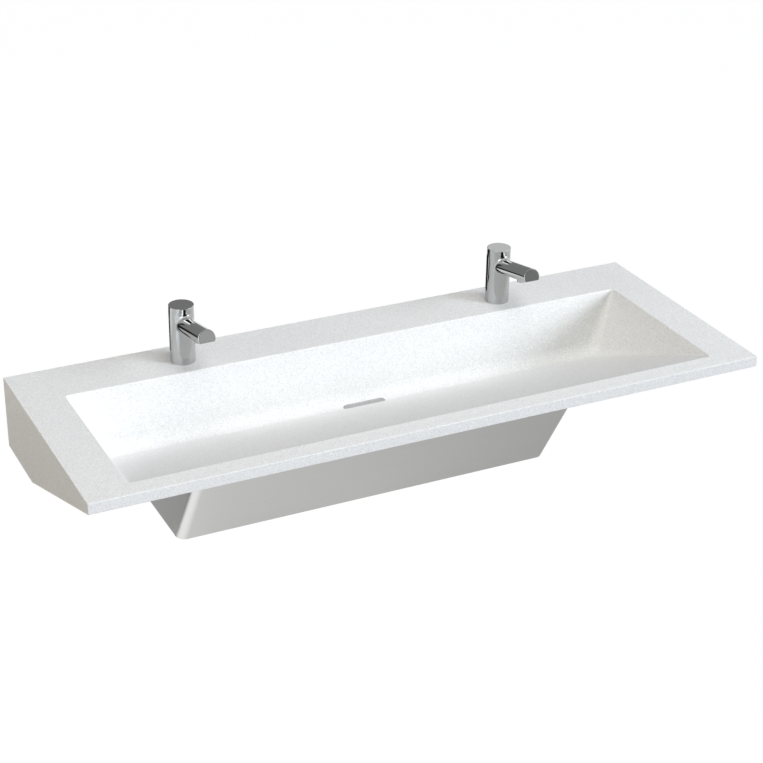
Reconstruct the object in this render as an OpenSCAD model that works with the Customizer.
// Wall-hung handwashing sink for two users: a cast trough with a ledge all round, two touch-free
// taps, a hidden slot drain with its trap, the mixed water supply, and a steel cover below.
// +X runs along the sink, +Z is up and -Y faces the user. Y = 0 is the wall.
// The origin is the centre of the four wall bolts. Sizes are in millimetres.

/* [Basin] */
// Length of the basin along the wall
basin_length = 1524; // [1400:1:1800]
// Depth of the basin from the wall to the front edge
basin_depth = 575; // [540:1:640]
// Thickness of the rim slab, which is the height of the front edge
rim_thickness = 22; // [18:1:30]
// Thickness of the cast bowl and of its end panels
wall = 22; // [16:1:26]
// Height of each end panel at the wall
end_height = 164; // [160:1:190]
// Level stretch of each end panel's lower edge, measured from the wall
end_level = 174; // [140:1:220]
// Ledge between the wall and the trough, where the taps stand
ledge_rear = 135; // [130:1:150]
// Ledge in front of the trough
ledge_front = 43; // [30:1:60]
// Ledge beside the trough, at each end
ledge_side = 94; // [80:1:120]
// Depth of the trough below the rim
trough_depth = 142; // [125:1:146]
// Distance from the wall to the lowest line of the trough
valley_depth = 176; // [168:1:190]
// How far each end wall of the trough leans in on its way down
end_lean = 45; // [20:1:80]
// Rounding along the lowest line of the trough
valley_radius = 28; // [20:1:32]
// Rounding of the trough's four corners at the rim
corner_radius = 8; // [4:1:14]

/* [Taps] */
// Distance between the two taps
tap_spacing = 774; // [700:1:800]
// Distance from the wall to the middle of each tap
tap_from_wall = 76; // [70:1:80]
// Radius of the tap's upright body
tap_radius = 27.5; // [25:0.5:29]
// Height of the tap above the rim
tap_height = 131.5; // [125:0.5:150]
// Radius of the round back of the spout
spout_radius = 19.5; // [17.5:0.5:21]
// Drop from the spout's axis to its flat underside
spout_flat = 10; // [9:0.1:11]
// Reach of the spout's axis from the tap's axis to the tip
spout_reach = 152; // [135:1:170]
// Height of the spout's axis above the rim, where it crosses the tap's axis
spout_height = 87; // [80:1:90]
// Rise of the spout towards its tip, in degrees
spout_rise = 11.3; // [4:0.1:14]
// Radius of the aerator in the spout's underside
aerator_radius = 12; // [11:0.5:13]
// Distance from the tip back to the aerator's axis
aerator_back = 45; // [36:1:50]
// How far the aerator stands out of the spout's underside
aerator_drop = 8.5; // [5:0.5:10]
// Distance from the tip back to the sensor's eye
eye_back = 17; // [14:1:20]

/* [Drain] */
// Length of the slot drain in the lowest line of the trough
slot_length = 102; // [90:1:120]
// Width of the slot drain
slot_width = 19; // [17:0.5:22]
// Gap between the slot's edge and the lift-out cover in it
slot_gap = 3; // [2:0.5:4]
// Outer radius of the waste pipe
waste_radius = 19.05; // [18:0.05:20]
// Wall of the waste pipe
waste_wall = 1.5; // [1:0.1:2.5]
// Bend radius of the trap
trap_bend_radius = 44; // [40:1:48]
// Stub of waste pipe that reaches into the wall
waste_stub = 35; // [25:1:60]

/* [Cover] */
// Width of the steel cover below the basin
cover_width = 918; // [880:1:960]
// Depth of the cover's level bottom, measured from the wall
cover_bottom = 208; // [205:1:230]
// Drop from the rim to the underside of the cover
cover_drop = 365; // [364:1:390]
// Lean of the cover's front from the vertical, in degrees
cover_lean = 31; // [24:1:34]
// Thickness of the cover's sheet
cover_sheet = 1.5; // [1:0.1:2.5]
// Outer rounding of the cover's two front corners
cover_corner = 20; // [10:1:30]
// Width of the flanges folded in round the cover's open sides
cover_flange = 18; // [16:1:24]

/* [Wall frame] */
// Distance from each end of the basin to the wall bolts of the bracket there
bolt_inset = 152.4; // [140:0.1:170]
// Distance between the upper and the lower wall bolt of a bracket
bolt_spacing_z = 100; // [90:1:104]
// Radius of the holes for the wall bolts
bolt_hole_radius = 5.5; // [4.5:0.1:6.5]
// Drop from the rim to the upper wall bolts
bolt_drop = 45; // [42:1:50]
// Width of a wall bracket
bracket_width = 60; // [50:1:80]
// Thickness of the brackets' steel
bracket_steel = 5; // [4:0.5:6]
// Reach of a bracket's arm under the rear ledge
bracket_reach = 105; // [95:1:108]
// Height of the cross rail between the brackets
rail_height = 40; // [36:1:44]
// Depth of the cross rail
rail_depth = 20; // [18:1:22]
// Thickness of the cross rail's sheet
rail_sheet = 2.5; // [2:0.1:3]

/* [Water supply] */
// Distance between the hot and the cold stop valve
stop_spacing = 170; // [164:1:180]
// Distance from the middle of the sink to the middle of the mixing valve
mixer_offset = 150; // [144:1:170]
// Drop from the rim to the stop valves
stop_drop = 290; // [284:1:300]
// Drop from the rim to the mixing valve
mixer_drop = 232; // [228:1:234]
// Bore of a stop valve's wall inlet
inlet_bore_radius = 8; // [7:0.1:9]
// Depth of that bore
inlet_bore_depth = 22; // [16:1:26]
// Radius of the water hoses
hose_radius = 6; // [5:0.5:7]
// Bend radius of the water hoses
hose_bend = 30; // [26:1:36]
// Radius of the sensor cables
cable_radius = 2; // [1.5:0.1:2.5]
// Width of the control box
box_width = 160; // [150:1:170]
// Height of the control box
box_height = 78; // [72:1:84]
// Depth of the control box, its lid included
box_depth = 78; // [76:1:82]
// Wall of the control box
box_wall = 3; // [2:0.5:4]

/* [Hidden] */
$fn = 64;
HULL_FN = 32;

// Gaps between pieces: a seat, a fit, a running fit, and how far a cut reaches past a face
seat = 0.3;
fit = 0.1;
running = 0.05;
over = 1;

// Far enough to pass the whole sink
beyond = 900;

// Thin slices for hulls, and what keeps a round end from closing on itself
slice = 0.5;
sliver = 0.01;

bolt_spacing_x = basin_length - 2 * bolt_inset;

// Heights in the part's frame
rim_z = bolt_drop + bolt_spacing_z / 2;
slab_z = rim_z - rim_thickness;
valley_z = rim_z - trough_depth + valley_radius;
valley_floor = rim_z - trough_depth;
bowl_bottom = valley_z - valley_radius - wall;
cover_z = rim_z - cover_drop;
stop_z = rim_z - stop_drop;
mixer_z = rim_z - mixer_drop;

// The trough and the bowl around it
opening_x = basin_length / 2 - ledge_side;
opening_front = basin_depth - ledge_front;
valley_x = opening_x - end_lean - valley_radius;
bowl_radius = valley_radius + wall;
bowl_drop = 2;
bowl_lip = 1;
bowl_edge = rim_z - bowl_drop - bowl_lip;

// The bowl's sloping underside is the line from the bowl's front corner that touches its rounding.
// Here it is an angle below the horizontal and a height above any depth from the wall.
ramp_run = opening_front + wall - valley_depth;
ramp_fall = bowl_edge - valley_z;
ramp_angle = atan2(ramp_fall, ramp_run) + asin(bowl_radius / norm([ramp_run, ramp_fall]));
function underside_z(depth) = bowl_edge - (opening_front + wall - depth) * tan(ramp_angle);

// A point list for an arc in the plane, from one angle to another
function arc(centre, r, from, to, steps = 8) = [
    for (i = [0:steps])
        let (a = from + (to - from) * i / steps)
            centre + r * [cos(a), sin(a)]
];

// Extrudes an outline of [y, z] points along X, centred on X = middle
module across(points, width, middle = 0) {
    translate([middle - width / 2, 0, 0])
        rotate([90, 0, 90])
            linear_extrude(width)
                polygon(points);
}

module along_x(r, length) {
    rotate([0, 90, 0])
        cylinder(r = r, h = length);
}

// Points away from the wall, which is towards -Y
module along_y(r, length) {
    rotate([90, 0, 0])
        cylinder(r = r, h = length);
}

module hexagon_y(r, length) {
    rotate([90, 0, 0])
        cylinder(r = r, h = length, $fn = 6);
}

module tube(outer, inner, length) {
    difference() {
        cylinder(r = outer, h = length);
        translate([0, 0, -over])
            cylinder(r = inner, h = length + 2 * over);
    }
}

// A box with its upright edges rounded, centred on X and Y
module rounded_block(size, r) {
    points = concat(
        arc([size[0] / 2 - r, size[1] / 2 - r], r, 0, 90),
        arc([r - size[0] / 2, size[1] / 2 - r], r, 90, 180),
        arc([r - size[0] / 2, r - size[1] / 2], r, 180, 270),
        arc([size[0] / 2 - r, r - size[1] / 2], r, 270, 360)
    );
    linear_extrude(size[2])
        polygon(points);
}

// A slot with round ends along X, centred on X and Y
module slot_block(length, width, height) {
    rounded_block([length, width, height], width / 2 - sliver);
}

// The basin

module trough_form(grow, top, height) {
    hull() {
        for (x = [-1, 1], y = [-ledge_rear - corner_radius, -opening_front + corner_radius])
            translate([x * (opening_x - corner_radius), y, top])
                cylinder(r = corner_radius + grow, h = height, $fn = HULL_FN);
        for (x = [-1, 1])
            translate([x * valley_x, -valley_depth, valley_z])
                sphere(r = valley_radius + grow, $fn = HULL_FN);
    }
}

end_profile = [
    [0, rim_z], [0, rim_z - end_height], [-end_level, rim_z - end_height],
    [-basin_depth, slab_z], [-basin_depth, rim_z],
];

// The block below the bowl that carries the drain, and the ledge inside its slot
boss_margin = 26;
boss_corner = 12;
boss_drop = 8;
boss_length = slot_length + 2 * boss_margin;
boss_width = slot_width + 2 * boss_margin;
boss_z = bowl_bottom - boss_drop;
ledge_drop = 6;
ledge_z = valley_floor - ledge_drop;
slot_ledge = 12;

insert_radius = 5;
insert_depth = 12;
screw_radius = 3;
head_radius = 5.5;
head_height = 3.5;
tip_room = 2;
shank_room = 1;

module basin() {
    color("whitesmoke")
        difference() {
            union() {
                translate([-basin_length / 2, -basin_depth, slab_z])
                    cube([basin_length, basin_depth, rim_thickness]);
                for (x = [-1, 1])
                    across(end_profile, wall, x * (basin_length - wall) / 2);
                trough_form(wall, bowl_edge, bowl_lip);
                translate([0, -valley_depth, boss_z])
                    rounded_block([boss_length, boss_width, wall + 2 * boss_drop], boss_corner);
            }
            trough_form(0, rim_z, over);
            translate([0, -valley_depth, ledge_z])
                slot_block(slot_length, slot_width, valley_radius);
            translate([0, -valley_depth, boss_z - over])
                slot_block(slot_length - slot_ledge, slot_width - slot_ledge, bowl_radius);
            for (x = [-1, 1])
                translate([x * tap_spacing / 2, -tap_from_wall, slab_z - over])
                    cylinder(r = shank_radius + shank_room, h = rim_thickness + 2 * over);
            deck_insert_places()
                translate([0, 0, -over])
                    cylinder(r = insert_radius + fit, h = insert_depth + over + seat);
            cover_screw_places()
                translate([0, 0, -seat - over])
                    cylinder(r = insert_radius + fit, h = insert_depth + over + 2 * seat);
            hopper_screw_places()
                translate([0, 0, boss_z - over])
                    cylinder(r = screw_radius + fit, h = hopper_screw_bite + over + seat);
        }
}

// The wall frame

bracket_tail = 15;
bracket_foot = -bolt_spacing_z / 2 - bracket_tail;
arm_z = slab_z - seat - bracket_steel;
rail_gap = 6;
rail_rise = 10;
rail_z = rail_rise - bolt_spacing_z / 2;
rail_front = -rail_gap - rail_depth;
gusset_margin = 12;
gusset_foot = rail_gap + rail_depth + gusset_margin;

gusset_profile = [
    [-bracket_steel / 2, bracket_foot], [-gusset_foot, bracket_foot],
    [-bracket_reach, arm_z - gusset_margin], [-bracket_reach, arm_z + bracket_steel / 2],
    [-bracket_steel / 2, arm_z + bracket_steel / 2],
];

module wall_bracket(side) {
    color("silver")
        translate([side * bolt_spacing_x / 2, 0, 0])
            difference() {
                union() {
                    translate([-bracket_width / 2, -bracket_steel, bracket_foot])
                        cube([bracket_width, bracket_steel, arm_z + bracket_steel - bracket_foot]);
                    translate([-bracket_width / 2, -bracket_reach, arm_z])
                        cube([bracket_width, bracket_reach, bracket_steel]);
                    for (x = [-1, 1])
                        across(gusset_profile, bracket_steel, x * (bracket_width - bracket_steel) / 2);
                }
                for (z = [-1, 1])
                    translate([0, over, z * bolt_spacing_z / 2])
                        along_y(bolt_hole_radius, bracket_steel + 2 * over);
                for (y = deck_screw_depths)
                    translate([0, -y, arm_z - over])
                        cylinder(r = screw_radius + 2 * fit, h = bracket_steel + 2 * over);
                translate([-side * bracket_width / 2 - bracket_steel, -rail_bolt_depth, rail_z])
                    along_x(rail_bolt_radius + fit, 2 * bracket_steel + over);
                translate([-side * bracket_width / 2 - bracket_steel + side * over, -rail_bolt_depth, rail_z])
                    along_x(rail_bolt_radius + fit, 2 * bracket_steel);
            }
}

rail_half = bolt_spacing_x / 2 - bracket_width / 2;
rail_bolt_radius = 4;
rail_bolt_tail = 10;
rail_nut_radius = 7.5;
rail_nut_height = 6;
rail_bolt_depth = rail_gap + rail_depth / 2;

rail_profile = [
    [rail_front, rail_z - rail_height / 2], [-rail_gap, rail_z - rail_height / 2],
    [-rail_gap, rail_z - rail_height / 2 + rail_sheet],
    [rail_front + rail_sheet, rail_z - rail_height / 2 + rail_sheet],
    [rail_front + rail_sheet, rail_z + rail_height / 2 - rail_sheet],
    [-rail_gap, rail_z + rail_height / 2 - rail_sheet],
    [-rail_gap, rail_z + rail_height / 2], [rail_front, rail_z + rail_height / 2],
];

module cross_rail() {
    color("silver")
        difference() {
            union() {
                across(rail_profile, 2 * rail_half);
                for (x = [-rail_half, rail_half - rail_sheet])
                    translate([x, rail_front, rail_z - rail_height / 2])
                        cube([rail_sheet, rail_depth, rail_height]);
            }
            for (x = [-1, 1])
                translate([x * rail_half - 2 * rail_sheet, -rail_bolt_depth, rail_z])
                    along_x(rail_bolt_radius + fit, 4 * rail_sheet);
            for (x = box_screw_x)
                translate([x, -rail_gap, rail_z])
                    along_y(screw_radius + fit, rail_depth + over);
        }
}

// Each bolt has its head inside the bracket and its nut inside the rail
module rail_bolts() {
    color("dimgray")
        for (x = [-1, 1])
            translate([x * rail_half, -rail_bolt_depth, rail_z])
                rotate([0, 0, x > 0 ? 0 : 180]) {
                    translate([-rail_sheet - rail_bolt_tail, 0, 0])
                        along_x(rail_bolt_radius, bracket_steel + rail_sheet + rail_bolt_tail);
                    for (start = [bracket_steel, -rail_sheet - rail_nut_height])
                        translate([start, 0, 0])
                            rotate([0, 90, 0])
                                cylinder(r = rail_nut_radius, h = rail_nut_height, $fn = 6);
                }
}

deck_screw_rear = 28;
deck_screw_front = 16;
deck_screw_depths = [deck_screw_rear, bracket_reach - deck_screw_front];

module deck_insert_places() {
    for (x = [-1, 1], y = deck_screw_depths)
        translate([x * bolt_spacing_x / 2, -y, slab_z])
            children();
}

module deck_screws() {
    color("dimgray")
        deck_insert_places() {
            translate([0, 0, -seat - bracket_steel])
                cylinder(r = screw_radius, h = seat + bracket_steel + insert_depth - tip_room);
            translate([0, 0, -seat - bracket_steel - head_height])
                cylinder(r = head_radius, h = head_height);
        }
}

module deck_inserts() {
    color("goldenrod")
        deck_insert_places()
            tube(insert_radius, screw_radius + fit, insert_depth);
}

// The drain

plate_length = slot_length - 2 * slot_gap;
plate_width = slot_width - 2 * slot_gap;
plate_sheet = 2;
plate_sink = 2.6;
plate_z = valley_floor - plate_sink;
foot_radius = 1.2;
foot_inset = 9;
foot_edge = 1.5;

module drain_cover() {
    color("gainsboro") {
        translate([0, -valley_depth, plate_z])
            slot_block(plate_length, plate_width, plate_sheet);
        for (x = [-1, 1], y = [-1, 1])
            translate([
                x * (plate_length / 2 - foot_inset),
                -valley_depth + y * (plate_width / 2 - foot_edge),
                ledge_z,
            ])
                cylinder(r = foot_radius, h = plate_z - ledge_z + plate_sheet / 2);
    }
}

gasket_sheet = 3;
hopper_z = boss_z - gasket_sheet;
hopper_flange = 4;
hopper_fall = 26;
hopper_wall = 4;
hopper_mouth = [slot_length, slot_width + 8];
hopper_corner = 8;
hopper_screw_bite = 12;
hopper_screw_inset = 10;
socket_wall = 3.5;
spigot_length = 22;
spigot_radius = waste_radius + socket_wall;
spigot_top = hopper_z - hopper_flange - hopper_fall;

module hopper_screw_places() {
    for (x = [-1, 1], y = [-1, 1])
        translate([
            x * (boss_length / 2 - hopper_screw_inset),
            -valley_depth + y * (boss_width / 2 - hopper_screw_inset),
            0,
        ])
            children();
}

module funnel(grow, r) {
    hull() {
        translate([0, 0, spigot_top + hopper_fall])
            rounded_block([hopper_mouth[0] + 2 * grow, hopper_mouth[1] + 2 * grow, slice], hopper_corner);
        translate([0, 0, spigot_top - slice])
            cylinder(r = r, h = slice, $fn = HULL_FN);
    }
}

module drain_hopper() {
    color("dimgray")
        difference() {
            union() {
                translate([0, -valley_depth, hopper_z - hopper_flange])
                    rounded_block([boss_length, boss_width, hopper_flange], boss_corner);
                translate([0, -valley_depth, 0])
                    funnel(hopper_wall, spigot_radius);
                translate([0, -valley_depth, spigot_top - spigot_length])
                    cylinder(r = spigot_radius, h = spigot_length);
            }
            translate([0, -valley_depth, 0])
                funnel(0, waste_radius - waste_wall);
            translate([0, -valley_depth, hopper_z - hopper_flange])
                rounded_block([hopper_mouth[0], hopper_mouth[1], hopper_flange + over], hopper_corner);
            translate([0, -valley_depth, spigot_top - spigot_length - over])
                cylinder(r = waste_radius - waste_wall, h = spigot_length + 2 * over);
            hopper_screw_places()
                translate([0, 0, hopper_z - hopper_flange - over])
                    cylinder(r = screw_radius + fit, h = hopper_flange + 2 * over);
        }
}

module hopper_gasket() {
    color("black")
        difference() {
            translate([0, -valley_depth, hopper_z])
                rounded_block([boss_length, boss_width, gasket_sheet], boss_corner);
            translate([0, -valley_depth, hopper_z - over])
                rounded_block([hopper_mouth[0], hopper_mouth[1], gasket_sheet + 2 * over], hopper_corner);
            hopper_screw_places()
                translate([0, 0, hopper_z - over])
                    cylinder(r = screw_radius + fit, h = gasket_sheet + 2 * over);
        }
}

module hopper_screws() {
    color("silver")
        hopper_screw_places() {
            translate([0, 0, hopper_z - hopper_flange])
                cylinder(r = screw_radius, h = hopper_flange + gasket_sheet + hopper_screw_bite);
            translate([0, 0, hopper_z - hopper_flange - head_height])
                cylinder(r = head_radius, h = head_height);
        }
}

// The waste pipe runs down from the hopper, round the trap and back to the wall, all at X = 0
trap_clearance = 8;
trap_z = cover_z + cover_sheet + trap_clearance + waste_radius + trap_bend_radius;
cup_radius = waste_radius + socket_wall;
cup_lift = 6;
cup_depth = 22;
cup_shelf = 4;
cup_foot = trap_z + cup_lift;
cup_top = cup_foot + cup_depth;
washer_height = 6;
flat_washer = 1.5;
nut_lip = 4;
nut_wall = 4.5;
nut_radius = cup_radius + nut_wall;
nut_length = 22;
tail_flange = 2;
flange_z = spigot_top - spigot_length - flat_washer;
arm_bend_radius = 36;
arm_lift = 8;
arm_straight = 6;
arm_foot = cup_foot + arm_lift;
arm_top = cup_top + washer_height + nut_lip + arm_straight;
arm_line = arm_top + arm_bend_radius;
arm_leg = valley_depth - 2 * trap_bend_radius;

module tailpiece() {
    color("silver")
        translate([0, -valley_depth, 0])
            difference() {
                union() {
                    translate([0, 0, arm_foot])
                        cylinder(r = waste_radius, h = flange_z - arm_foot);
                    translate([0, 0, flange_z - tail_flange])
                        cylinder(r = cup_radius - fit, h = tail_flange);
                }
                translate([0, 0, arm_foot - over])
                    cylinder(r = waste_radius - waste_wall, h = flange_z - arm_foot + 2 * over);
            }
}

module slip_nut() {
    difference() {
        cylinder(r = nut_radius, h = nut_length, $fn = 12);
        translate([0, 0, -over])
            cylinder(r = cup_radius + 2 * fit, h = nut_length - nut_lip + over);
        cylinder(r = waste_radius + 2 * fit, h = nut_length + over);
    }
}

// The first nut holds the tailpiece up against the hopper, so its lip is at its lower end
module slip_nuts() {
    color("silver") {
        translate([0, -valley_depth, flange_z - tail_flange - nut_lip + nut_length])
            mirror([0, 0, 1])
                slip_nut();
        for (y = [valley_depth, arm_leg])
            translate([0, -y, cup_top + washer_height + nut_lip - nut_length])
                slip_nut();
    }
}

module slip_washers() {
    color("black") {
        translate([0, -valley_depth, flange_z])
            tube(cup_radius - fit, waste_radius - waste_wall, flat_washer);
        for (y = [valley_depth, arm_leg])
            translate([0, -y, cup_top])
                tube(cup_radius, waste_radius + fit, washer_height);
    }
}

// Half a ring of pipe below z = 0 between two upright legs
module u_bend(outer, inner, bend) {
    rotate([0, 90, 0])
        rotate([0, 0, -90])
            rotate_extrude(angle = 180)
                translate([bend, 0])
                    difference() {
                        circle(r = outer);
                        circle(r = inner);
                    }
}

module trap_bend() {
    color("silver") {
        translate([0, -valley_depth + trap_bend_radius, trap_z])
            u_bend(waste_radius, waste_radius - waste_wall, trap_bend_radius);
        for (y = [valley_depth, arm_leg])
            translate([0, -y, 0]) {
                translate([0, 0, trap_z])
                    tube(waste_radius, waste_radius - waste_wall, cup_foot - trap_z);
                translate([0, 0, cup_foot])
                    tube(cup_radius, waste_radius - waste_wall, cup_shelf);
                translate([0, 0, cup_foot + cup_shelf])
                    tube(cup_radius, waste_radius + fit, cup_depth - cup_shelf);
            }
    }
}

module trap_arm() {
    color("silver") {
        translate([0, -arm_leg, arm_foot])
            tube(waste_radius, waste_radius - waste_wall, arm_top - arm_foot);
        translate([0, -arm_leg + arm_bend_radius, arm_top])
            rotate([0, 90, 0])
                rotate([0, 0, 180])
                    rotate_extrude(angle = 90)
                        translate([arm_bend_radius, 0])
                            difference() {
                                circle(r = waste_radius);
                                circle(r = waste_radius - waste_wall);
                            }
        translate([0, waste_stub, arm_line])
            rotate([90, 0, 0])
                tube(waste_radius, waste_radius - waste_wall, waste_stub + arm_leg - arm_bend_radius);
    }
}

escutcheon_radius = 36;

module wall_escutcheon() {
    color("silver")
        translate([0, 0, arm_line])
            rotate([90, 0, 0])
                rotate_extrude()
                    polygon([
                        [waste_radius + fit, 9], [waste_radius + fit, 7.5], [escutcheon_radius - 9, 6],
                        [escutcheon_radius - 2, 1], [escutcheon_radius - 2, 0], [escutcheon_radius, 0],
                        [escutcheon_radius, 1.5], [escutcheon_radius - 8, 7.5], [waste_radius + 3, 9],
                    ]);
}

// The steel cover

// A cross-section of the cover square to its leaning front: two sides, a front and round corners
module cover_section(half, front, r) {
    polygon(concat(
        [[half, front + beyond]], [[-half, front + beyond]],
        arc([r - half, front + r], r, 180, 270, 10),
        arc([half - r, front + r], r, 270, 360, 10)
    ));
}

// The body between the leaning front and the two sides, as far as the given side outline allows
module cover_form(inset, outline) {
    intersection() {
        translate([0, -cover_bottom, cover_z])
            rotate([cover_lean, 0, 0])
                translate([0, 0, -beyond])
                    linear_extrude(2 * beyond)
                        cover_section(cover_width / 2 - inset, inset, cover_corner - inset);
        across(outline, cover_width + 2 * over);
    }
}

cover_seat = bowl_bottom - seat;
cover_turn = opening_front + wall - (bowl_edge - seat - cover_seat) / tan(ramp_angle);
cover_front = basin_depth;

function cover_outline(bottom, back, lower) = [
    [back, bottom], [back, cover_seat - lower], [-cover_turn, cover_seat - lower],
    [-cover_front, underside_z(cover_front) - seat - lower], [-cover_front, bottom],
];

rear_flange_holes = 140;
cover_hole_radius = 2.75;
cover_hole_x = cover_width / 2 - cover_flange / 2 - cover_sheet / 2;
cover_hole_rise = 95;
cover_hole_z = cover_z + cover_hole_rise;

module trap_cover() {
    color("lightgray")
        difference() {
            cover_form(0, cover_outline(cover_z, 0, 0));
            cover_form(cover_sheet, cover_outline(cover_z + cover_sheet, -cover_sheet, cover_sheet));
            translate([0, 0, cover_z + cover_sheet])
                cover_window();
            for (x = [-1, 1], z = [-1, 1])
                translate([x * cover_hole_x, over, cover_hole_z + z * rear_flange_holes / 2])
                    along_y(cover_hole_radius, cover_sheet + 2 * over);
            cover_screw_places()
                translate([0, 0, -2 * cover_sheet])
                    cylinder(r = screw_radius + 2 * fit, h = 4 * cover_sheet);
        }
}

// Opens the back and the top inside the flanges
module cover_window() {
    half = cover_width / 2 - cover_flange;
    translate([-half, -cover_sheet - over, 0])
        cube([2 * half, cover_sheet + 2 * over, cover_drop]);
    intersection() {
        translate([-half, -cover_front, 0])
            cube([2 * half, cover_front - cover_sheet, cover_drop]);
        translate([0, -cover_bottom, 0])
            rotate([cover_lean, 0, 0])
                translate([-half, cover_flange, -beyond])
                    cube([2 * half, beyond, 2 * beyond]);
    }
}

// Where the cover is screwed up into the bowl's sloping underside: three in front and one at each side
cover_top_depth = cover_bottom + (cover_seat - cover_z) * tan(cover_lean);
cover_meet = cover_top_depth + (underside_z(cover_top_depth) - cover_seat)
    / (1 / tan(cover_lean) - tan(ramp_angle));
cover_screw_margin = 18;
cover_screw_setback = 100;
cover_screw_pitch = 278;
cover_front_screws = cover_meet - cover_screw_margin;
cover_side_screws = cover_meet - cover_screw_setback;

module cover_screw_places() {
    for (p = [
        [-cover_screw_pitch, cover_front_screws], [0, cover_front_screws],
        [cover_screw_pitch, cover_front_screws],
        [-cover_hole_x, cover_side_screws], [cover_hole_x, cover_side_screws],
    ])
        translate([p[0], -p[1], underside_z(p[1])])
            rotate([-ramp_angle, 0, 0])
                children();
}

module cover_screws() {
    color("silver")
        cover_screw_places() {
            translate([0, 0, -cover_sheet - 2 * seat])
                cylinder(r = screw_radius, h = cover_sheet + 2 * seat + insert_depth - tip_room);
            translate([0, 0, -cover_sheet - 2 * seat - head_height])
                cylinder(r = head_radius, h = head_height);
        }
}

module cover_inserts() {
    color("goldenrod")
        cover_screw_places()
            tube(insert_radius, screw_radius + fit, insert_depth);
}

// The taps

shank_radius = 16.5;
shank_bore = 14;
shank_rise = 24;
shank_drop = 46;
shank_top = rim_z + shank_rise;
shank_foot = slab_z - shank_drop;
cap_sheet = 2.5;
cap_spigot = 6;
cap_land = 1.2;
cap_wall = 5;
cap_radius = tap_radius - cap_land;
cap_bore = tap_radius - cap_wall;
chamber_radius = 20;
chamber_rise = 58;
chamber_top = rim_z + chamber_rise;
waterway = 5;
seal_radius = 25;
seal_sheet = 2;
aerator_bite = 8;
aerator_step = 1;
aerator_rim = 3;
aerator_recess = 2;
jet_radius = 0.9;
jet_rings = [3, 6];
jet_count = 6;

module at_tap(side) {
    translate([side * tap_spacing / 2, -tap_from_wall, 0])
        children();
}

// Stands at the spout's axis on the tap's axis, with +Z along the spout towards its tip and
// +Y up, square to it
module along_spout() {
    translate([0, 0, rim_z + spout_height])
        rotate([90 - spout_rise, 0, 0])
            children();
}

spout_length = spout_reach / cos(spout_rise);

module spout_solid() {
    along_spout()
        linear_extrude(spout_length)
            difference() {
                circle(r = spout_radius);
                translate([-spout_radius - over, -2 * spout_radius - spout_flat])
                    square([2 * spout_radius + 2 * over, 2 * spout_radius]);
            }
}

// Stands on the spout's flat underside at a distance back from the tip, with +Z into the spout
module under_spout(back) {
    along_spout()
        translate([0, -spout_flat, spout_length - back])
            rotate([-90, 0, 0])
                children();
}

module tap_body(side) {
    color("lightslategray")
        at_tap(side)
            difference() {
                union() {
                    translate([0, 0, rim_z])
                        cylinder(r = tap_radius, h = tap_height);
                    spout_solid();
                }
                translate([0, 0, rim_z - over])
                    cylinder(r = shank_radius + running, h = chamber_top - rim_z - over);
                translate([0, 0, shank_top])
                    cylinder(r = chamber_radius, h = chamber_top - shank_top);
                translate([0, 0, rim_z - over])
                    cylinder(r = seal_radius, h = seal_sheet + over);
                translate([0, 0, chamber_top - over])
                    cylinder(r = waterway, h = rim_z + spout_height - chamber_top + over);
                translate([0, 0, rim_z + tap_height - cap_sheet])
                    cylinder(r = cap_radius + running, h = cap_sheet + over);
                translate([0, 0, rim_z + tap_height - cap_sheet - cap_spigot - over])
                    cylinder(r = cap_bore, h = cap_spigot + 2 * over);
                along_spout()
                    cylinder(r = waterway, h = spout_length - aerator_back);
                under_spout(aerator_back)
                    translate([0, 0, -over])
                        cylinder(r = aerator_radius - aerator_step, h = aerator_bite + 2 * over);
                under_spout(eye_back)
                    translate([0, 0, -over])
                        cylinder(r = eye_radius + fit, h = eye_depth + over + seat);
            }
}

module tap_cap(side) {
    color("lightslategray")
        at_tap(side) {
            translate([0, 0, rim_z + tap_height - cap_sheet])
                cylinder(r = cap_radius, h = cap_sheet);
            translate([0, 0, rim_z + tap_height - cap_sheet - cap_spigot])
                cylinder(r = cap_bore - fit, h = cap_spigot + over);
        }
}

module aerator(side) {
    color("gray")
        at_tap(side)
            under_spout(aerator_back)
                difference() {
                    union() {
                        translate([0, 0, -aerator_drop])
                            cylinder(
                                r1 = aerator_radius - aerator_step, r2 = aerator_radius, h = aerator_step
                            );
                        translate([0, 0, aerator_step - aerator_drop])
                            cylinder(r = aerator_radius, h = aerator_drop - aerator_step);
                        cylinder(r = aerator_radius - aerator_step - fit, h = aerator_bite);
                    }
                    translate([0, 0, -aerator_drop - over])
                        cylinder(r = aerator_radius - aerator_rim, h = aerator_recess + over);
                    for (ring = jet_rings, spoke = [1:jet_count])
                        rotate([0, 0, (spoke + ring / jet_count) * 360 / jet_count])
                            translate([ring, 0, -aerator_drop])
                                cylinder(r = jet_radius, h = aerator_drop + aerator_bite + over, $fn = 16);
                }
}

eye_radius = 6;
eye_depth = 5;

module sensor_eye(side) {
    color("black")
        at_tap(side)
            under_spout(eye_back)
                cylinder(r = eye_radius, h = eye_depth);
}

module base_seal(side) {
    color("black")
        at_tap(side)
            translate([0, 0, rim_z])
                tube(seal_radius - fit, shank_radius + fit, seal_sheet - fit);
}

module shank(side) {
    color("goldenrod")
        at_tap(side)
            translate([0, 0, shank_foot])
                tube(shank_radius, shank_bore, shank_top - shank_foot);
}

shank_washer_sheet = 4;
shank_washer_width = 11.5;
shank_nut_height = 12;
shank_nut_width = 9.5;

module shank_washer(side) {
    color("silver")
        at_tap(side)
            translate([0, 0, slab_z - shank_washer_sheet])
                tube(shank_radius + shank_washer_width, shank_radius + 4 * fit, shank_washer_sheet);
}

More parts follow.
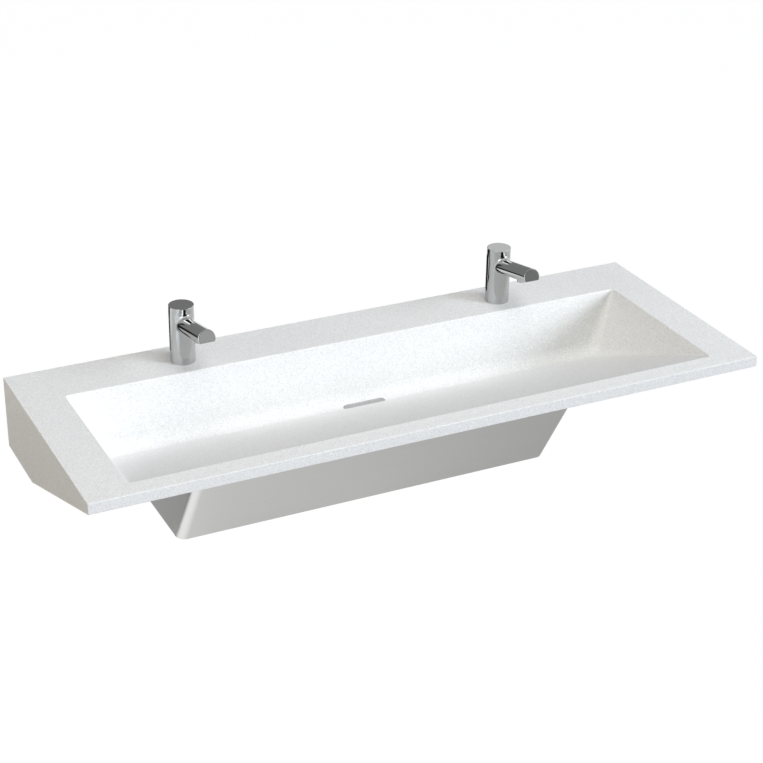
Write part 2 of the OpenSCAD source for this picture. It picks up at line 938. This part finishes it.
module shank_nut(side) {
    color("goldenrod")
        at_tap(side)
            translate([0, 0, slab_z - shank_washer_sheet - shank_nut_height])
                difference() {
                    cylinder(r = shank_radius + shank_nut_width, h = shank_nut_height, $fn = 6);
                    translate([0, 0, -over])
                        cylinder(r = shank_radius + fit, h = shank_nut_height + 2 * over);
                }
}

// The water supply: hot and cold stops at the wall, the mixing valve, the box and the hoses

supply_y = -tap_from_wall;
mixer_x = -mixer_offset;
stop_x = [mixer_x - stop_spacing / 2, mixer_x + stop_spacing / 2];
box_back = rail_front - seat;
box_front = box_back - box_depth;
box_rise = 8;
box_top = rail_z + rail_height / 2 + box_rise;
box_foot = box_top - box_height;
hose_drop = 38;
hose_z = box_top - hose_drop;
cable_lift = 17;
cable_z = hose_z + cable_lift;
cable_gap = 11;
cable_y = supply_y - cable_gap;

// One elbow in the XZ plane: up from its foot, then round to the right for side 1 or the left for -1.
// It starts at the origin pointing up and ends at [side * bend, 0, bend].
module elbow(r, bend, side) {
    translate([side * bend, 0, 0])
        rotate([90, 0, 0])
            rotate([0, 0, side > 0 ? 90 : 0])
                rotate_extrude(angle = 90)
                    translate([bend, 0])
                        circle(r = r);
}

// A hose or cable from the control box along X and then up into a tap
module rising_line(side, r, y, z, top, box_edge) {
    tap_x = side * tap_spacing / 2;
    reach = abs(tap_x - box_edge) - hose_bend;
    translate([tap_x, y, z + hose_bend])
        cylinder(r = r, h = top - z - hose_bend);
    translate([tap_x - side * hose_bend, y, z])
        rotate([90, 0, 0])
            translate([0, hose_bend, 0])
                rotate([0, 0, side > 0 ? 270 : 180])
                    rotate_extrude(angle = 90)
                        translate([hose_bend, 0])
                            circle(r = r);
    translate([side > 0 ? box_edge : box_edge - reach, y, z])
        along_x(r, reach);
}

box_left = mixer_x - box_width / 2;
box_right = mixer_x + box_width / 2;
fitting_radius = 8.5;
fitting_length = 16;
hose_end = 14;
cable_end = 16;
gland_length = 8;
gland_wall = 2.5;

module tap_hose(side) {
    edge = side < 0 ? box_left : box_right;
    color("darkgray") {
        rising_line(side, hose_radius, supply_y, hose_z, chamber_top - hose_end, edge + side * seat);
        translate([side < 0 ? edge - fitting_length - seat : edge + seat, supply_y, hose_z])
            along_x(fitting_radius, fitting_length);
        at_tap(side)
            translate([0, 0, chamber_top - hose_end])
                cylinder(r = fitting_radius, h = hose_end - seat);
    }
}

module sensor_cable(side) {
    edge = side < 0 ? box_left : box_right;
    color("black") {
        rising_line(side, cable_radius, cable_y, cable_z, chamber_top - cable_end, edge + side * seat);
        translate([side < 0 ? edge - gland_length - seat : edge + seat, cable_y, cable_z])
            along_x(cable_radius + gland_wall, gland_length);
    }
}

// An angle stop, from the wall outwards: inlet hexagon, neck, valve chamber and bonnet, with its outlet
// and compression nut on top
stem_radius = 4;
stem_bore = 14;
stop_inlet = -12;
inlet_hexagon = [14, 16];
neck_radius = 10.5;
chamber = [13, 24];
bonnet = [11, 10];
bonnet_front = supply_y - 20;
stop_way = [5, 4];
outlet = [8, 15];
outlet_nut = [10.5, 12];

module stop_body(x) {
    color("silver")
        translate([x, 0, stop_z])
            difference() {
                union() {
                    translate([0, stop_inlet, 0])
                        hexagon_y(inlet_hexagon[0], inlet_hexagon[1]);
                    translate([0, stop_inlet - inlet_hexagon[1] + over, 0])
                        along_y(neck_radius, stop_inlet - inlet_hexagon[1] - bonnet_front);
                    translate([0, bonnet_front + bonnet[1] + chamber[1], 0])
                        along_y(chamber[0], chamber[1]);
                    translate([0, bonnet_front + bonnet[1], 0])
                        hexagon_y(bonnet[0], bonnet[1]);
                    translate([0, supply_y, 0])
                        cylinder(r = outlet[0], h = outlet[1]);
                    translate([0, supply_y, outlet[1]])
                        cylinder(r = outlet_nut[0], h = outlet_nut[1], $fn = 6);
                }
                translate([0, stop_inlet + over, 0])
                    along_y(inlet_bore_radius, inlet_bore_depth + over);
                translate([0, stop_inlet - inlet_bore_depth + over, 0])
                    along_y(stop_way[0], stop_inlet - inlet_bore_depth - supply_y);
                translate([0, supply_y, 0])
                    cylinder(r = stop_way[1], h = outlet[1] + outlet_nut[1] + over);
                translate([0, bonnet_front + stem_bore, 0])
                    along_y(stem_radius + running, stem_bore + over);
            }
}

stem_end = 2;
handle_hub = [9, 8];
handle_size = [16, 46, 8];

module stop_handle(x, tint) {
    translate([x, 0, stop_z]) {
        color("silver") {
            translate([0, bonnet_front + stem_bore - stem_end, 0])
                along_y(stem_radius, stem_bore);
            translate([0, bonnet_front - seat, 0])
                along_y(handle_hub[0], handle_hub[1]);
        }
        color(tint)
            translate([0, bonnet_front - seat - handle_hub[1], 0])
                rotate([90, 0, 0])
                    rounded_block(handle_size, handle_size[0] / 2 - seat);
    }
}

mixer_half = 45;
mixer_radius = 17;
mixer_port = 11;
mixer_nut = [14, 12];
mixer_neck = 6;
mixer_bonnet = [12, 7];
feed_bend = 25;
ferrule = 9;

module supply_hose(side) {
    x = stop_x[side < 0 ? 0 : 1];
    foot = stop_z + outlet[1] + outlet_nut[1] + seat;
    end_x = mixer_x + side * (mixer_half + seat);
    run = abs(x - end_x) - feed_bend;
    color("darkgray") {
        translate([x, supply_y, foot])
            cylinder(r = hose_radius, h = mixer_z - feed_bend - foot);
        translate([x, supply_y, mixer_z - feed_bend])
            elbow(hose_radius, feed_bend, -side);
        translate([side < 0 ? end_x - run : end_x, supply_y, mixer_z])
            along_x(hose_radius, run);
        translate([x, supply_y, foot])
            cylinder(r = fitting_radius, h = ferrule);
    }
}

module mixing_valve_body() {
    color("goldenrod")
        translate([mixer_x, supply_y, mixer_z])
            difference() {
                union() {
                    translate([mixer_nut[1] - mixer_half, 0, 0])
                        along_x(mixer_radius, 2 * (mixer_half - mixer_nut[1]));
                    translate([-mixer_half, 0, 0])
                        along_x(mixer_port, 2 * mixer_half);
                    for (x = [-mixer_half, mixer_half - mixer_nut[1]])
                        translate([x, 0, 0])
                            rotate([0, 90, 0])
                                cylinder(r = mixer_nut[0], h = mixer_nut[1], $fn = 6);
                    cylinder(r = mixer_port, h = mixer_radius + mixer_neck);
                    along_y(mixer_bonnet[0], mixer_radius + mixer_bonnet[1]);
                }
                translate([-mixer_half - over, 0, 0])
                    along_x(hose_radius, 2 * mixer_half + 2 * over);
                cylinder(r = hose_radius, h = mixer_radius + mixer_neck + over);
                translate([0, stem_bore - mixer_radius - mixer_bonnet[1], 0])
                    along_y(stem_radius + running, stem_bore + over);
            }
}

dial_radius = 16;
dial_height = 14;
groove_radius = 2.6;
groove_out = 1.2;
pointer = [2.4, 2.2, 11];
pointer_start = 3;

module mixing_valve_dial() {
    color("dimgray")
        translate([mixer_x, supply_y - mixer_radius - mixer_bonnet[1] - seat, mixer_z]) {
            translate([0, stem_bore - stem_end, 0])
                along_y(stem_radius, dial_height);
            difference() {
                along_y(dial_radius, dial_height);
                for (a = [0:30:330])
                    rotate([0, a, 0])
                        translate([dial_radius + groove_out, over, 0])
                            along_y(groove_radius, dial_height + 2 * over);
            }
            translate([-pointer[0] / 2, over - dial_height - pointer[1], pointer_start])
                cube(pointer);
        }
}

pipe_wall = 3;

module mixed_water_pipe() {
    pipe_foot = mixer_z + mixer_radius + mixer_neck + seat;
    color("goldenrod")
        translate([mixer_x, supply_y, pipe_foot])
            tube(hose_radius + pipe_wall, hose_radius, manifold_foot - seat - pipe_foot);
}

// The control box hangs on the rail, open at the front under its lid
lid_sheet = 3;

module box_shell() {
    shell_depth = box_depth - lid_sheet;
    translate([box_left, box_front + lid_sheet, box_foot])
        difference() {
            cube([box_width, shell_depth, box_height]);
            translate([box_wall, -over, box_wall])
                cube([box_width - 2 * box_wall, shell_depth - box_wall + over, box_height - 2 * box_wall]);
        }
}

lid_post = 5;
lid_inset = box_wall + lid_post - over;
lid_screw_radius = 1.5;
lid_screw_bite = 12;
lid_head = [3, 2];
box_screw_inset = 16;
box_screw_tail = 8;
box_screw_x = [box_left + box_screw_inset, box_right - box_screw_inset];

module lid_screw_places() {
    for (x = [box_left + lid_inset, box_right - lid_inset], z = [box_foot + lid_inset, box_top - lid_inset])
        translate([x, 0, z])
            children();
}

module control_box() {
    color("darkslategray")
        difference() {
            union() {
                box_shell();
                lid_screw_places()
                    translate([0, box_back - box_wall / 2, 0])
                        along_y(lid_post, box_depth - lid_sheet - box_wall / 2);
            }
            lid_screw_places()
                translate([0, box_front + lid_sheet + lid_screw_bite + tip_room, 0])
                    along_y(lid_screw_radius + fit, lid_screw_bite + 2 * tip_room);
            translate([mixer_x, supply_y, box_foot - over])
                cylinder(r = hose_radius + pipe_wall + fit, h = box_wall + 2 * over);
            for (x = [box_left - over, box_right - box_wall - over])
                translate([x, supply_y, hose_z])
                    along_x(hose_radius, box_wall + 2 * over);
            for (x = [box_left - over, box_right - box_wall - over])
                translate([x, cable_y, cable_z])
                    along_x(cable_radius, box_wall + 2 * over);
            for (x = box_screw_x)
                translate([x, box_back + over, rail_z])
                    along_y(screw_radius + fit, box_wall + 2 * over);
        }
}

module control_box_lid() {
    color("slategray")
        difference() {
            translate([box_left, box_front, box_foot])
                cube([box_width, lid_sheet - seat, box_height]);
            lid_screw_places()
                translate([0, box_front + lid_sheet, 0])
                    along_y(lid_screw_radius + seat, lid_sheet + over);
        }
}

module lid_screws() {
    color("silver")
        lid_screw_places() {
            translate([0, box_front + lid_sheet + lid_screw_bite, 0])
                along_y(lid_screw_radius, lid_screw_bite + lid_sheet + over);
            translate([0, box_front, 0])
                along_y(lid_head[0], lid_head[1]);
        }
}

module box_screws() {
    color("silver")
        for (x = box_screw_x) {
            translate([x, rail_front + rail_sheet + box_screw_tail, rail_z])
                along_y(screw_radius, rail_sheet + seat + box_wall + box_screw_tail + over);
            translate([x, box_back - box_wall, rail_z])
                along_y(head_radius, head_height);
        }
}

manifold_width = 34;
manifold_height = 26;
manifold_foot = hose_z - manifold_height / 2;
solenoid_width = 30;
solenoid_pipe = 9;
coil_radius = 11;
valve_bore = hose_radius - 1;

// The manifold splits the mixed water between the two solenoid valves
module valve_manifold() {
    color("goldenrod")
        difference() {
            translate([mixer_x - manifold_width / 2, supply_y - manifold_height / 2, manifold_foot])
                cube([manifold_width, manifold_height, manifold_height]);
            translate([mixer_x, supply_y, manifold_foot - over])
                cylinder(r = hose_radius, h = manifold_height / 2 + over);
            translate([mixer_x - manifold_width / 2 - over, supply_y, hose_z])
                along_x(valve_bore, manifold_width + 2 * over);
        }
}

module solenoid(side) {
    start = mixer_x + side * (manifold_width / 2 + seat);
    end = side < 0 ? box_left + box_wall + seat : box_right - box_wall - seat;
    low = min(start, end);
    middle = (start + end) / 2;
    color("midnightblue")
        difference() {
            union() {
                translate([low, supply_y, hose_z])
                    along_x(solenoid_pipe, abs(end - start));
                translate([middle - solenoid_width / 2, supply_y - manifold_height / 2, manifold_foot])
                    cube([solenoid_width, manifold_height, manifold_height]);
                translate([middle, box_back - box_wall - seat, hose_z])
                    along_y(coil_radius, box_back - box_wall - seat - supply_y);
            }
            translate([low - over, supply_y, hose_z])
                along_x(valve_bore, abs(end - start) + 2 * over);
        }
}

board_width = 48;
board_front = 16;
board_gap = 1;
board_depth = box_depth - box_wall - board_front - board_gap;
board_sheet = 1.6;
board_lift = 4;
board_post = 2;
board_edge = 4;
chip = [18, 18, 2.4];
chip_place = [14, 10];
plug = [12, 10, 7];
plug_x = [10, 30];
plug_back = 20;

// The circuit board stands on four posts on the floor of the box, left of the manifold
module control_board() {
    color("darkgreen")
        translate([
            box_left + box_wall + 2 * (lid_post + board_gap),
            box_front + board_front,
            box_foot + box_wall + seat,
        ]) {
            translate([0, 0, board_lift])
                cube([board_width, board_depth, board_sheet]);
            for (x = [board_edge, board_width - board_edge], y = [board_edge, board_depth - board_edge])
                translate([x, y, 0])
                    cylinder(r = board_post, h = board_lift);
            translate([chip_place[0], chip_place[1], board_lift + board_sheet])
                cube(chip);
            for (x = plug_x)
                translate([x, board_depth - plug_back, board_lift + board_sheet])
                    cube(plug);
        }
}

battery_radius = 7.2;
battery_length = 50;
battery_gap = 1;
battery_forward = 4;

module battery_pack() {
    color("dimgray")
        translate([mixer_x, supply_y - battery_forward, box_top - box_wall - battery_radius - seat])
            for (x = [-1, 1])
                translate([x * (battery_length / 2 + battery_gap) - battery_length / 2, 0, 0])
                    along_x(battery_radius, battery_length);
}

basin();
wall_bracket(-1);  // wall_bracket_left
wall_bracket(1);  // wall_bracket_right
cross_rail();
rail_bolts();
deck_screws();
deck_inserts();
drain_cover();
drain_hopper();
hopper_gasket();
hopper_screws();
tailpiece();
slip_nuts();
slip_washers();
trap_bend();
trap_arm();
wall_escutcheon();
trap_cover();
cover_screws();
cover_inserts();
tap_body(-1);  // tap_body_left
tap_body(1);  // tap_body_right
tap_cap(-1);  // tap_cap_left
tap_cap(1);  // tap_cap_right
aerator(-1);  // aerator_left
aerator(1);  // aerator_right
sensor_eye(-1);  // sensor_eye_left
sensor_eye(1);  // sensor_eye_right
base_seal(-1);  // base_seal_left
base_seal(1);  // base_seal_right
shank(-1);  // shank_left
shank(1);  // shank_right
shank_washer(-1);  // shank_washer_left
shank_washer(1);  // shank_washer_right
shank_nut(-1);  // shank_nut_left
shank_nut(1);  // shank_nut_right
tap_hose(-1);  // tap_hose_left
tap_hose(1);  // tap_hose_right
sensor_cable(-1);  // sensor_cable_left
sensor_cable(1);  // sensor_cable_right
stop_body(stop_x[0]);  // hot_stop_body
stop_body(stop_x[1]);  // cold_stop_body
stop_handle(stop_x[0], "firebrick");  // hot_stop_handle
stop_handle(stop_x[1], "royalblue");  // cold_stop_handle
supply_hose(-1);  // hot_hose
supply_hose(1);  // cold_hose
mixing_valve_body();
mixing_valve_dial();
mixed_water_pipe();
control_box();
control_box_lid();
lid_screws();
box_screws();
valve_manifold();
solenoid(-1);  // solenoid_left
solenoid(1);  // solenoid_right
control_board();
battery_pack();
